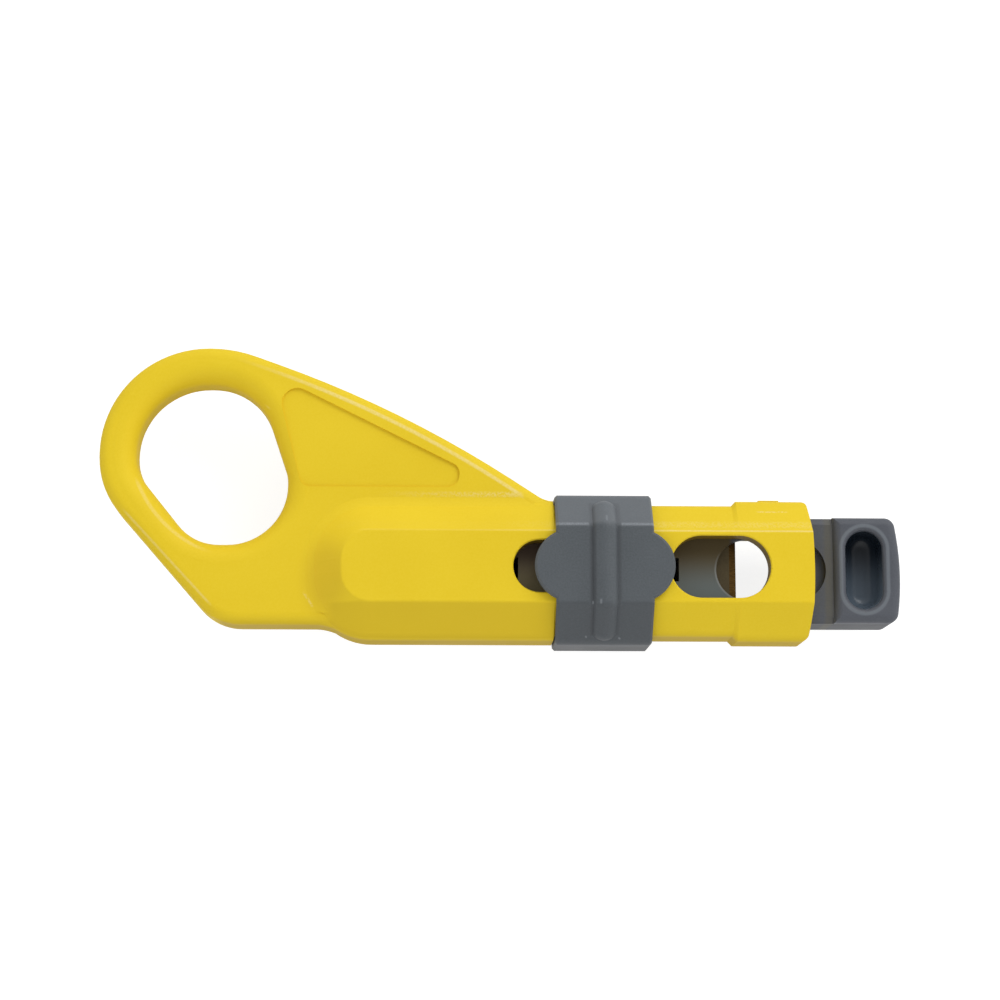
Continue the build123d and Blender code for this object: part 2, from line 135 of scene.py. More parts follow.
def tubeMm(tree, point):
    # the point in millimetres about the tube's axis, as three numbers
    shift = tree.nodes.new("ShaderNodeVectorMath")
    shift.operation = "SUBTRACT"
    tree.links.new(point, shift.inputs[0])
    shift.inputs[1].default_value = tubeOrigin
    grow = tree.nodes.new("ShaderNodeVectorMath")
    grow.operation = "SCALE"
    tree.links.new(shift.outputs[0], grow.inputs[0])
    grow.inputs["Scale"].default_value = 1 / mm
    split = tree.nodes.new("ShaderNodeSeparateXYZ")
    tree.links.new(grow.outputs[0], split.inputs[0])
    return split.outputs["X"], split.outputs["Y"], split.outputs["Z"]


def band(tree, value, low, high, soft):
    # 1 between the two values, falling to 0 over the soft width outside them
    rise = mapRange(tree, value, low - soft, low, smooth=True)
    fall = mapRange(tree, value, high, high + soft, 1.0, 0.0, smooth=True)
    return mathNode(tree, "MULTIPLY", rise, fall)


def allOf(tree, first, *others):
    for other in others:
        first = mathNode(tree, "MULTIPLY", first, other)
    return first


def anyOf(tree, first, *others):
    for other in others:
        first = mathNode(tree, "MAXIMUM", first, other)
    return first


def alongLine(tree, x, y, start, end):
    # distance along a straight line in plan, and distance to its left
    run = (Vector(end) - Vector(start)).normalized()
    awayX = mathNode(tree, "SUBTRACT", x, start[0])
    awayY = mathNode(tree, "SUBTRACT", y, start[1])
    along = mathNode(
        tree,
        "MULTIPLY_ADD",
        awayX,
        run.x,
        mathNode(tree, "MULTIPLY", awayY, run.y),
    )
    aside = mathNode(
        tree,
        "MULTIPLY_ADD",
        awayY,
        run.x,
        mathNode(tree, "MULTIPLY", awayX, -run.y),
    )
    return along, aside


def lineMark(tree, x, y, start, end, width, soft, fade):
    along, aside = alongLine(tree, x, y, start, end)
    length = (Vector(end) - Vector(start)).length
    across = band(tree, aside, -width / 2, width / 2, soft)
    return allOf(tree, across, band(tree, along, fade, length - fade, fade))


def fromCentre(tree, x, y, centre):
    awayX = mathNode(tree, "SUBTRACT", x, centre[0])
    awayY = mathNode(tree, "SUBTRACT", y, centre[1])
    squares = mathNode(
        tree, "MULTIPLY_ADD", awayX, awayX, mathNode(tree, "MULTIPLY", awayY, awayY)
    )
    return mathNode(tree, "SQRT", squares)


def spot(tree, x, y, centre, halfX, halfY, soft):
    # soft oval: 1 at its middle, 0 outside its rim
    stretched = mathNode(
        tree, "MULTIPLY_ADD", mathNode(tree, "SUBTRACT", y, centre[1]), halfX / halfY, centre[1]
    )
    reach = fromCentre(tree, x, stretched, centre)
    return mapRange(tree, reach, halfX * (1 - soft), halfX, 1.0, 0.0, smooth=True)


def srgb(red, green, blue):
    # screen colour, 0 to 255, as the linear colour that a socket takes
    def linear(value):
        part = value / 255
        return part / 12.92 if part <= 0.04045 else ((part + 0.055) / 1.055) ** 2.4

    return (linear(red), linear(green), linear(blue), 1.0)


# Moulded plastics: a fine spark grain, a slow change of tone, and uneven gloss
def mouldedPlastic(name, settings, marks=None):
    material, tree, shader = newMaterial(name)
    point = objectPoint(tree)
    grain = noise(tree, point, settings["grainMm"], detail=3.0, roughness=0.6)
    cloud = noise(tree, point, settings["cloudMm"], detail=3.0)
    tone = mapRange(tree, cloud, *noiseSpread)
    colour = mixColour(tree, tone, settings["colour"], settings["secondColour"])
    fleck = mapRange(tree, grain, *grainSpread, 0.0, settings["fleck"])
    colour = mixColour(tree, fleck, colour, settings["fleckColour"])
    rough = mapRange(tree, cloud, *noiseSpread, *settings["roughness"])
    if marks:
        colour, rough = marks(tree, point, colour, rough)
    tree.links.new(colour, shader.inputs["Base Color"])
    tree.links.new(rough, shader.inputs["Roughness"])
    shader.inputs["Specular IOR Level"].default_value = settings["specular"]
    normal = bump(tree, grain, settings["grainDepthMm"], settings["grainStrength"])
    tree.links.new(normal, shader.inputs["Normal"])
    print("material:", name)
    return material


# Wear and shading are painted by place, to match the photograph's own light. In the wear
# settings below x, y and z are in mm on the tube's axes, and reach is the distance from a
# centre. Three numbers are a band: low, high and soft edge. Two are a ramp: where it starts and
# where it is full. Four are a ramp with its own first and last value. A line is its start, end,
# width, soft edge and fade at the ends.
def speckles(tree, point, sizeMm, leastCover=0.0):
    # broken cover, as rubbing leaves it, which also breaks up the painted highlight lines
    return mapRange(tree, noise(tree, point, sizeMm, detail=4.0), *speckleSpread, leastCover, 1.0)


def paint(tree, colour, mask, mark):
    # lays the mark's shade over the colour, at the mark's strength
    return mixColour(tree, allOf(tree, mask, mark["strength"]), colour, mark["shade"])


def lowWall(tree, y, z, mark):
    # painted shade on the wall on the low side, darker towards the back
    deep = mapRange(tree, z, *mark["z"], smooth=True)
    return allOf(tree, deep, mapRange(tree, y, *mark["y"]))


# The yellow moulding: pale lines along its creases and rims, partly rubbed wear and partly
# painted highlight; painted shade in a valley at the tube's foot and on the bevel and side of
# the low side; and brown painted shade on the walls of both openings
yellowWear = {
    "pale": srgb(236, 220, 158),
    "paleRoughness": 0.2,
    "speckleMm": 0.3,
    "leastCover": 0.55,  # between the speckles of the firmer lines
    "frontZ": (8.6, 8.8),
    "plateZ": (4.7, 5.1, 0.3),
    "bevelZ": (6.6, 8.7, 0.2),
    "ringZ": (3.6, 4.0),
    "bow": {
        "centre": (-96.2, -136.3),
        "reach": (178.3, 178.5, 0.35),
        "rise": (-44.0, -25.0, 0.0, 0.6),
        "fall": (2.6, 3.8, 1.0, 0.0),
    },
    "foot": {
        "y": (11.85, 12.05, 0.55),
        "rise": (-22.0, 0.0, 0.0, 0.42),
        "fall": (2.9, 3.8, 1.0, 0.0),
    },
    "crease": {"y": (5.6, 5.7, 0.16), "rise": (-12.0, 28.0, 0.08, 0.5)},
    "dust": {"y": (6.5, 7.0, 0.6), "rise": (0.0, 26.0, 0.02, 0.2)},
    "collar": {"y": (9.1, 9.2, 0.12), "x": (40.9, 45.0, 0.6), "strength": 0.5},
    "heel": {"line": ((-60.0, 9.6), (-45.2, -6.3), 0.16, 0.2, 2.0), "strength": 0.35},
    "rim": {
        "centre": (-39.5, 20.9),
        "reach": (19.28, 19.52, 0.3),
        "y": (4.0, 13.0, 2.0),
        "x": (-45.0, -48.0),
        "strength": 0.3,
    },
    "brow": {"line": ((-41.6, 29.1), (-36.6, 25.6), 0.1, 0.2, 1.0), "strength": 0.3},
    "toe": {"line": ((-31.2, -3.6), (-29.5, -6.3), 0.12, 0.25, 0.7), "strength": 0.35},
    "valley": {
        "shade": srgb(204, 171, 36),
        "middle": (-27.8, -1.6),
        "halfX": 5.0,
        "halfY": 8.0,
        "soft": 0.7,
        "z": (4.8, 8.8, 0.3),
        "strength": 0.45,
    },
    "lowBevel": {
        "shade": srgb(206, 175, 30),
        "x": (-26.0, 9.0, 2.0),
        "y": (-5.4, -5.9),
        "z": (4.6, 8.7, 0.4),
        "strength": 0.6,
    },
    "lowSide": {
        "shade": srgb(176, 146, 30),
        "y": (-7.6, -8.4),
        "z": (5.6, 1.5),
        "strength": 0.7,
    },
    "openings": {
        "shade": srgb(92, 68, 30),
        "windowX": (1.6, 18.7, 0.1),
        "portX": (26.3, 42.5, 0.1),
        "y": (-5.1, 5.1, 0.1),
        "z": (4.4, 8.75, 0.1),
        "strength": 0.85,
    },
}


# where the yellow is pale: rubbed wear along its creases, and painted highlights along creases and
# the ring's rims
def yellowRubbed(tree, point, x, y, z):
    # where the yellow is worn pale
    speckle = speckles(tree, point, yellowWear["speckleMm"])
    firmSpeckle = mapRange(tree, speckle, 0.0, 1.0, yellowWear["leastCover"], 1.0)
    onFront = mapRange(tree, z, *yellowWear["frontZ"])
    onPlate = band(tree, z, *yellowWear["plateZ"])
    onBevel = band(tree, z, *yellowWear["bevelZ"])
    onRing = mapRange(tree, z, *yellowWear["ringZ"])

    bow = yellowWear["bow"]
    bowLine = allOf(
        tree,
        band(tree, fromCentre(tree, x, y, bow["centre"]), *bow["reach"]),
        mapRange(tree, x, *bow["rise"], smooth=True),
        mapRange(tree, x, *bow["fall"]),
        onPlate,
        firmSpeckle,
    )
    foot = yellowWear["foot"]
    footLine = allOf(
        tree,
        band(tree, y, *foot["y"]),
        mapRange(tree, x, *foot["rise"], smooth=True),
        mapRange(tree, x, *foot["fall"]),
        onPlate,
        speckle,
    )
    crease = yellowWear["crease"]
    creaseLine = allOf(
        tree,
        band(tree, y, *crease["y"]),
        onFront,
        mapRange(tree, x, *crease["rise"], smooth=True),
        firmSpeckle,
    )
    # a faint, pale speckled band on the bevel above the front crease
    dust = yellowWear["dust"]
    creaseDust = allOf(
        tree, band(tree, y, *dust["y"]), mapRange(tree, x, *dust["rise"]), onBevel, speckle
    )
    collar = yellowWear["collar"]
    collarLine = allOf(
        tree,
        band(tree, y, *collar["y"]),
        band(tree, x, *collar["x"]),
        speckle,
        collar["strength"],
    )
    # painted highlight along the ring's lower left outer edge
    heel = yellowWear["heel"]
    heelLine = allOf(tree, lineMark(tree, x, y, *heel["line"]), firmSpeckle, heel["strength"])
    # painted highlight on the lower left rim of the ring's hole
    rim = yellowWear["rim"]
    rimLine = allOf(
        tree,
        band(tree, fromCentre(tree, x, y, rim["centre"]), *rim["reach"]),
        band(tree, y, *rim["y"]),
        mapRange(tree, x, *rim["x"]),
        onRing,
        firmSpeckle,
        rim["strength"],
    )
    # painted highlight near the upper right of the ring's hole
    brow = yellowWear["brow"]
    browLine = allOf(tree, lineMark(tree, x, y, *brow["line"]), onRing, brow["strength"])
    toe = yellowWear["toe"]
    toeLine = allOf(tree, lineMark(tree, x, y, *toe["line"]), onPlate, speckle, toe["strength"])
    return anyOf(
        tree,
        bowLine,
        footLine,
        creaseLine,
        creaseDust,
        collarLine,
        heelLine,
        rimLine,
        browLine,
        toeLine,
    )


def yellowMarks(tree, point, colour, rough):
    x, y, z = tubeMm(tree, point)
    # painted shade in the valley where the tube's left end meets the plate
    valley = yellowWear["valley"]
    inValley = allOf(
        tree,
        spot(tree, x, y, valley["middle"], valley["halfX"], valley["halfY"], valley["soft"]),
        band(tree, z, *valley["z"]),
    )
    colour = paint(tree, colour, inValley, valley)
    # painted shade on the tube's lower bevel
    bevel = yellowWear["lowBevel"]
    lowBevel = allOf(
        tree,
        mapRange(tree, y, *bevel["y"]),
        band(tree, x, *bevel["x"]),
        band(tree, z, *bevel["z"]),
    )
    colour = paint(tree, colour, lowBevel, bevel)
    # painted shade on the yellow's side on the low side
    lowSide = yellowWear["lowSide"]
    colour = paint(tree, colour, lowWall(tree, y, z, lowSide), lowSide)
    # brown painted shade on the walls of the window and the port
    openings = yellowWear["openings"]
    inOpenings = allOf(
        tree,
        anyOf(tree, band(tree, x, *openings["windowX"]), band(tree, x, *openings["portX"])),
        band(tree, y, *openings["y"]),
        band(tree, z, *openings["z"]),
    )
    colour = paint(tree, colour, inOpenings, openings)
    # pale lines of rubbed wear and painted highlight, a little rougher than the rest
    worn = yellowRubbed(tree, point, x, y, z)
    colour = mixColour(tree, worn, colour, yellowWear["pale"])
    return colour, mathNode(tree, "MULTIPLY_ADD", worn, yellowWear["paleRoughness"], rough)


# The clip: painted light on a paler upper bevel, an upper crease line of rubbed wear and
# painted highlight, painted glints on the rib and its ends, and painted shade on the lower
# crease and bevel, at the feet beside the rib and on the side on the low side
clipWear = {
    "pale": srgb(142, 147, 153),
    "dark": srgb(58, 60, 63),
    "speckleMm": 0.28,
    "leastCover": 0.6,
    "frontZ": (4.0, 5.0),
    "ribMiddle": 16.15,
    "besideRib": (2.4, 2.7),  # from the rib's middle, as the feet's two bands are
    "upperCrease": {"y": (6.4, 6.6, 0.3), "strength": 0.6},
    "upperBevel": {"y": (6.2, 6.8), "strength": 0.16},
    "lowerCrease": {"y": (-6.1, -6.0, 0.45), "strength": 0.35},
    "lowerBevel": {"y": (-5.8, -6.4), "strength": 0.3},
    "feet": {
        "leftOfRib": (-2.1, -1.75, 0.5),
        "rightOfRib": (1.9, 2.2, 0.5),
        "rightShare": 0.8,
        "y": (-10.5, 10.0, 0.6),
        "strength": 0.5,
    },
    "glints": {
        "lines": (
            ((16.35, 6.6), (16.35, 8.1), 0.12, 0.25, 0.4),
            ((15.35, -6.4), (15.35, -5.4), 0.1, 0.2, 0.3),
            ((14.15, -6.3), (14.15, -5.6), 0.1, 0.15, 0.25),
            ((13.5, -11.0), (13.1, -10.7), 0.08, 0.15, 0.2),
            ((18.3, -10.9), (18.8, -11.2), 0.08, 0.15, 0.2),
        ),
        "strength": 0.4,
    },
    "lowSide": {
        "shade": srgb(58, 60, 63),
        "y": (-9.0, -9.8),
        "z": (5.6, 1.5),
        "strength": 0.85,
    },
}


def clipMarks(tree, point, colour, rough):
    x, y, z = tubeMm(tree, point)
    speckle = speckles(tree, point, clipWear["speckleMm"], clipWear["leastCover"])
    onFront = mapRange(tree, z, *clipWear["frontZ"])
    fromRib = mathNode(tree, "SUBTRACT", x, clipWear["ribMiddle"])
    beside = mapRange(tree, mathNode(tree, "ABSOLUTE", fromRib), *clipWear["besideRib"])

    # painted shade along the lower crease, at the feet beside the rib and on the lower bevel
    crease = clipWear["lowerCrease"]
    lowerCrease = allOf(tree, band(tree, y, *crease["y"]), beside, crease["strength"])
    feet = clipWear["feet"]
    rightFoot = allOf(tree, band(tree, fromRib, *feet["rightOfRib"]), feet["rightShare"])
    bothFeet = allOf(
        tree,
        anyOf(tree, band(tree, fromRib, *feet["leftOfRib"]), rightFoot),
        band(tree, y, *feet["y"]),
        feet["strength"],
    )
    bevel = clipWear["lowerBevel"]
    lowerBevel = allOf(tree, mapRange(tree, y, *bevel["y"]), bevel["strength"])
    dull = anyOf(tree, lowerCrease, bothFeet, lowerBevel)
    colour = mixColour(tree, allOf(tree, dull, onFront), colour, clipWear["dark"])
    # painted shade on the clip's side on the low side
    lowSide = clipWear["lowSide"]
    colour = paint(tree, colour, lowWall(tree, y, z, lowSide), lowSide)

    # painted light: a paler upper bevel and glints on the rib and its ends; the upper crease line
    # is partly rubbed wear and partly painted highlight
    crease = clipWear["upperCrease"]
    upperCrease = allOf(tree, band(tree, y, *crease["y"]), beside, speckle, crease["strength"])
    glints = clipWear["glints"]
    glintLines = anyOf(tree, *(lineMark(tree, x, y, *line) for line in glints["lines"]))
    bevel = clipWear["upperBevel"]
    rubbed = anyOf(
        tree,
        upperCrease,
        allOf(tree, glintLines, glints["strength"]),
        allOf(tree, mapRange(tree, y, *bevel["y"]), bevel["strength"]),
    )
    colour = mixColour(tree, allOf(tree, rubbed, onFront), colour, clipWear["pale"])
    return colour, rough


# The slider: an olive to gray fade of painted shade and yellow reflection behind the port and
# another behind the window, painted shade on the low side, a painted highlight on the lower
# left edge of its cable opening, a painted yellow reflection on the neck, and a glossier dimple
# darkened with painted shade, with a painted highlight on its rim
sliderWear = {
    "faceZ": (4.4, 5.0),
    "acrossY": (-4.0, 3.2),  # from the fades' low colour to their high one
    "port": {
        "x": (24.0, 36.0, 1.0),
        "low": srgb(104, 113, 112),
        "high": srgb(80, 66, 28),
        "edge": srgb(126, 106, 50),
        "edgeY": (-4.3, -4.7),
        "strength": 0.9,
    },
    "window": {
        "x": (0.0, 12.0, 3.0),
        "low": srgb(144, 134, 98),
        "high": srgb(84, 66, 48),
        "strength": 0.9,
    },
    "lowSide": {
        "shade": srgb(54, 57, 62),
        "y": (-7.9, -8.3),
        "z": (4.8, 3.0),
        "strength": 0.9,
    },
    "cableEdge": {
        "shade": srgb(140, 142, 140),
        "centre": (38.95, 0.0),
        "reach": (4.9, 5.1, 0.12),
        "x": (38.5, 38.0),
        "y": (3.0, -1.0),
        "strength": 0.6,
    },
    "neck": {"shade": srgb(98, 92, 66), "x": (51.7, 52.2, 0.8), "strength": 0.35},
    "rim": {
        "shade": srgb(124, 131, 137),
        "reach": (3.6, 3.85, 0.3),
        "z": (5.8, 6.1),
        "strength": 0.4,
    },
    "dimple": {
        "centre": (57.5, 0.0),
        "straight": 3.3,  # half the length between the centres of its round ends
        "halfX": 4.6,
        "halfY": 7.6,
        "soft": 0.12,
        "x": (52.8, 53.4),
        "z": (5.8, 5.3),
        "downY": (4.5, -5.5),
        "high": srgb(22, 29, 37),
        "low": srgb(86, 97, 108),
        "roughness": 0.26,
    },
}


def sliderMarks(tree, point, colour, rough):
    x, y, z = tubeMm(tree, point)
    onFace = mapRange(tree, z, *sliderWear["faceZ"])
    high = mapRange(tree, y, *sliderWear["acrossY"], smooth=True)
    # painted shade and yellow reflection behind the port: olive at the top, lighter gray lower
    # down, and a painted gold reflection along its low edge
    port = sliderWear["port"]
    inPort = allOf(tree, band(tree, x, *port["x"]), onFace, port["strength"])
    fade = mixColour(tree, high, port["low"], port["high"])
    fade = mixColour(tree, mapRange(tree, y, *port["edgeY"]), fade, port["edge"])
    colour = mixColour(tree, inPort, colour, fade)
    # painted shade behind the window: dark brown at the top, paler olive lower down
    window = sliderWear["window"]
    inWindow = allOf(tree, band(tree, x, *window["x"]), onFace, window["strength"])
    fade = mixColour(tree, high, window["low"], window["high"])
    colour = mixColour(tree, inWindow, colour, fade)
    # painted shade on the slider's side on the low side
    lowSide = sliderWear["lowSide"]
    colour = paint(tree, colour, lowWall(tree, y, z, lowSide), lowSide)
    # painted highlight on the lower left edge of the cable opening
    edge = sliderWear["cableEdge"]
    onEdge = allOf(
        tree,
        band(tree, fromCentre(tree, x, y, edge["centre"]), *edge["reach"]),
        mapRange(tree, x, *edge["x"]),
        mapRange(tree, y, *edge["y"]),
        onFace,
    )
    colour = paint(tree, colour, onEdge, edge)
    # painted yellow reflection on the neck beside the pad's shoulder
    neck = sliderWear["neck"]
    colour = paint(tree, colour, band(tree, x, *neck["x"]), neck)

    dimple = sliderWear["dimple"]
    centre = dimple["centre"]
    # distance from the dimple's long axis, which ends at the centres of its round ends
    pastEnd = mathNode(tree, "SUBTRACT", mathNode(tree, "ABSOLUTE", y), dimple["straight"])
    fromAxis = fromCentre(tree, x, mathNode(tree, "MAXIMUM", pastEnd, 0.0), centre)
    # painted highlight on the dimple's rim
    rim = sliderWear["rim"]
    onRim = allOf(tree, band(tree, fromAxis, *rim["reach"]), mapRange(tree, z, *rim["z"]))
    colour = paint(tree, colour, onRim, rim)
    # painted shade inside the dimple, darkest at its top; its lower roughness is its gloss
    inDimple = allOf(
        tree,
        spot(tree, x, y, centre, dimple["halfX"], dimple["halfY"], dimple["soft"]),
        mapRange(tree, z, *dimple["z"], smooth=True),
        mapRange(tree, x, *dimple["x"]),
    )
    down = mapRange(tree, y, *dimple["downY"], smooth=True)
    fade = mixColour(tree, down, dimple["high"], dimple["low"])
    colour = mixColour(tree, inDimple, colour, fade)
    return colour, mapRange(tree, inDimple, 0.0, 1.0, rough, dimple["roughness"])


yellowSettings = {
    "colour": srgb(222, 191, 28),
    "secondColour": srgb(226, 196, 34),
    "fleckColour": srgb(232, 204, 54),
    "fleck": 0.22,
    "roughness": (0.58, 0.66),
    "specular": 0.2,
    "grainMm": 0.35,
    "grainDepthMm": 0.03,
    "grainStrength": 0.25,
    "cloudMm": 14.0,
}
clipSettings = {
    "colour": srgb(75, 80, 84),
    "secondColour": srgb(80, 85, 89),
    "fleckColour": srgb(96, 101, 106),
    "fleck": 0.3,
    "roughness": (0.5, 0.58),
    "specular": 0.3,
    "grainMm": 0.3,
    "grainDepthMm": 0.03,
    "grainStrength": 0.3,
    "cloudMm": 8.0,
}
sliderSettings = dict(
    clipSettings,
    colour=srgb(73, 76, 83),
    secondColour=srgb(79, 82, 89),
    fleckColour=srgb(90, 94, 101),
)
darkSettings = dict(
    clipSettings,
    # the brown in the carrier's dark colour is painted reflection of the yellow housing
    colour=srgb(78, 67, 42),
    secondColour=srgb(92, 79, 50),
    fleckColour=srgb(104, 92, 62),
)

yellowPlastic = mouldedPlastic("yellowPlastic", yellowSettings, yellowMarks)
clipPlastic = mouldedPlastic("clipPlastic", clipSettings, clipMarks)
sliderPlastic = mouldedPlastic("sliderPlastic", sliderSettings, sliderMarks)
darkPlastic = mouldedPlastic("darkPlastic", darkSettings)


# Metals: drawn or ground, with a fine grain along one axis
def drawnMetal(name, settings):
    material, tree, shader = newMaterial(name)
    point = objectPoint(tree)
    mapping = tree.nodes.new("ShaderNodeMapping")
    tree.links.new(point, mapping.inputs["Vector"])
    mapping.inputs["Scale"].default_value = settings["stretch"]
    lines = noise(tree, mapping.outputs["Vector"], settings["lineMm"], detail=4.0)
    cloud = noise(tree, point, settings["cloudMm"])
    tone = mapRange(tree, lines, *noiseSpread)
    colour = mixColour(tree, tone, settings["colour"], settings["secondColour"])
    tree.links.new(colour, shader.inputs["Base Color"])
    rough = mapRange(tree, cloud, *noiseSpread, *settings["roughness"])
    tree.links.new(rough, shader.inputs["Roughness"])
    shader.inputs["Metallic"].default_value = 1.0
    normal = bump(tree, lines, settings["lineDepthMm"], settings["lineStrength"])
    tree.links.new(normal, shader.inputs["Normal"])
    print("material:", name)
    return material


bladeSettings = {
    # the gold-brown of the blades' steel is painted reflection of the yellow housing
    "colour": srgb(108, 82, 43),
    "secondColour": srgb(74, 54, 29),
    "roughness": (0.22, 0.32),
    "stretch": (0.05, 1.0, 1.0),
    "lineMm": 0.12,
    "lineDepthMm": 0.01,
    "lineStrength": 0.4,
    "cloudMm": 3.0,
}
pinSettings = dict(bladeSettings, colour=srgb(178, 178, 176), secondColour=srgb(158, 158, 157))
springSettings = dict(bladeSettings, colour=srgb(150, 150, 148), secondColour=srgb(126, 126, 125))

bladeSteel = drawnMetal("bladeSteel", bladeSettings)
pinSteel = drawnMetal("pinSteel", pinSettings)
springSteel = drawnMetal("springSteel", springSettings)

finishes = {
    "housing": yellowPlastic,
    "slider": sliderPlastic,
    "cover_clip": clipPlastic,
    "blade_carrier": darkPlastic,
    "carrier_cover": darkPlastic,
    "front_blade": bladeSteel,
    "back_blade": bladeSteel,
    "upper_dowel": pinSteel,
    "lower_dowel": pinSteel,
    "upper_screw": pinSteel,
    "lower_screw": pinSteel,
    "stop_pin": pinSteel,
    "spring_guide": pinSteel,
}
for name, material in finishes.items():
    for slot in nodes[name].material_slots:
        slot.material = material


# Return spring: a wound wire with closed end coils, in the place of its plain sleeve
springShape = {
    "turns": 16.0,
    "closedTurns": 1.5,
    "wireMm": 0.5,
    "pointsPerTurn": 28,
    "wireSides": 10,
    "kept": 0.85,
}


def springTree():
    tree = bpy.data.node_groups.new("windSpring", "GeometryNodeTree")
    face = tree.interface
    face.new_socket("Geometry", in_out="OUTPUT", socket_type="NodeSocketGeometry")
    for label, kind in (
        ("Turns", "NodeSocketFloat"),
        ("Closed Turns", "NodeSocketFloat"),
        ("Coil Radius", "NodeSocketFloat"),
        ("Length", "NodeSocketFloat"),
        ("Wire Radius", "NodeSocketFloat"),
        ("Points Per Turn", "NodeSocketInt"),
        ("Wire Sides", "NodeSocketInt"),
        ("Start", "NodeSocketVector"),
        ("Material", "NodeSocketMaterial"),
    ):
        face.new_socket(label, in_out="INPUT", socket_type=kind)
    given = tree.nodes.new("NodeGroupInput").outputs
    output = tree.nodes.new("NodeGroupOutput")

    spiral = tree.nodes.new("GeometryNodeCurveSpiral")
    put(tree, given["Points Per Turn"], spiral.inputs["Resolution"])
    put(tree, given["Turns"], spiral.inputs["Rotations"])
    put(tree, given["Coil Radius"], spiral.inputs["Start Radius"])
    put(tree, given["Coil Radius"], spiral.inputs["End Radius"])
    spiral.inputs["Height"].default_value = 0.0

    # the coils lie a wire apart at each end and share the rest of the length between
    factor = tree.nodes.new("GeometryNodeSplineParameter").outputs["Factor"]
    wire = mathNode(tree, "MULTIPLY", given["Wire Radius"], 2.0)
    wound = mathNode(tree, "MULTIPLY", factor, given["Turns"])
    openTurns = mathNode(
        tree, "SUBTRACT", given["Turns"], mathNode(tree, "MULTIPLY", given["Closed Turns"], 2.0)
    )
    lowClosed = mathNode(tree, "MINIMUM", wound, given["Closed Turns"])
    pastLow = mathNode(tree, "SUBTRACT", wound, given["Closed Turns"])
    inOpen = mathNode(tree, "MINIMUM", mathNode(tree, "MAXIMUM", pastLow, 0.0), openTurns)
    highClosed = mathNode(tree, "MAXIMUM", mathNode(tree, "SUBTRACT", pastLow, openTurns), 0.0)
    closedRun = mathNode(tree, "MULTIPLY", mathNode(tree, "ADD", lowClosed, highClosed), wire)
    closedTotal = mathNode(
        tree, "MULTIPLY", mathNode(tree, "MULTIPLY_ADD", given["Closed Turns"], 2.0, 1.0), wire
    )
    openLength = mathNode(tree, "SUBTRACT", given["Length"], closedTotal)
    openRun = mathNode(
        tree, "MULTIPLY", inOpen, mathNode(tree, "DIVIDE", openLength, openTurns)
    )
    along = mathNode(
        tree, "ADD", mathNode(tree, "ADD", closedRun, openRun), given["Wire Radius"]
    )

    # the spiral is made flat in X and Y, and stands along X once it is turned
    place = tree.nodes.new("GeometryNodeInputPosition").outputs[0]
    split = tree.nodes.new("ShaderNodeSeparateXYZ")
    put(tree, place, split.inputs[0])
    joined = tree.nodes.new("ShaderNodeCombineXYZ")
    put(tree, along, joined.inputs["X"])
    put(tree, split.outputs["X"], joined.inputs["Y"])
    put(tree, split.outputs["Y"], joined.inputs["Z"])
    moved = tree.nodes.new("ShaderNodeVectorMath")
    moved.operation = "ADD"
    put(tree, joined.outputs[0], moved.inputs[0])
    put(tree, given["Start"], moved.inputs[1])
    setPlace = tree.nodes.new("GeometryNodeSetPosition")
    put(tree, spiral.outputs[0], setPlace.inputs["Geometry"])
    put(tree, moved.outputs[0], setPlace.inputs["Position"])

    circle = tree.nodes.new("GeometryNodeCurvePrimitiveCircle")
    put(tree, given["Wire Sides"], circle.inputs["Resolution"])
    put(tree, given["Wire Radius"], circle.inputs["Radius"])
    sweep = tree.nodes.new("GeometryNodeCurveToMesh")
    put(tree, setPlace.outputs[0], sweep.inputs["Curve"])
    put(tree, circle.outputs[0], sweep.inputs["Profile Curve"])
    sweep.inputs["Fill Caps"].default_value = True
    smooth = tree.nodes.new("GeometryNodeSetShadeSmooth")
    put(tree, sweep.outputs[0], smooth.inputs["Geometry"])
    real = tree.nodes.new("GeometryNodeRealizeInstances")
    put(tree, smooth.outputs[0], real.inputs["Geometry"])
    finish = tree.nodes.new("GeometryNodeSetMaterial")
    put(tree, real.outputs[0], finish.inputs["Geometry"])
    put(tree, given["Material"], finish.inputs["Material"])
    put(tree, finish.outputs[0], output.inputs["Geometry"])
    return tree


def meshFromTree(name, tree, values):
    # runs the tree on an empty mesh and returns the result as a plain mesh object
    holder = bpy.data.objects.new(name + "Source", bpy.data.meshes.new(name + "Source"))
    bpy.context.scene.collection.objects.link(holder)
    modifier = holder.modifiers.new("build", "NODES")
    modifier.node_group = tree
    identifiers = {
        item.name: item.identifier
        for item in tree.interface.items_tree
        if item.item_type == "SOCKET" and item.in_out == "INPUT"
    }
    for label, value in values.items():
        modifier[identifiers[label]] = value
    holder.update_tag()
    depsgraph = bpy.context.evaluated_depsgraph_get()
    mesh = bpy.data.meshes.new_from_object(holder.evaluated_get(depsgraph))
    mesh.name = name
    bpy.data.objects.remove(holder)
    piece = bpy.data.objects.new(name, mesh)
    bpy.context.scene.collection.objects.link(piece)
    return piece


springLow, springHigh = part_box("return_spring")
wireRadius = springShape["wireMm"] * mm / 2
springAxis = (springLow + springHigh) / 2
springStart = Vector((springLow.x, springAxis.y, springAxis.z))
coilSpring = meshFromTree(
    "coilSpring",
    springTree(),
    {
        "Turns": springShape["turns"],
        "Closed Turns": springShape["closedTurns"],
        "Coil Radius": (springHigh.y - springLow.y) / 2 - wireRadius,
        "Length": springHigh.x - springLow.x,
        "Wire Radius": wireRadius,
        "Points Per Turn": springShape["pointsPerTurn"],
        "Wire Sides": springShape["wireSides"],
        "Start": springStart,
        "Material": springSteel,
    },
)
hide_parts("return_spring")
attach(coilSpring, "housing")
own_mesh(coilSpring)
print("spring:", len(coilSpring.data.polygons), "faces")


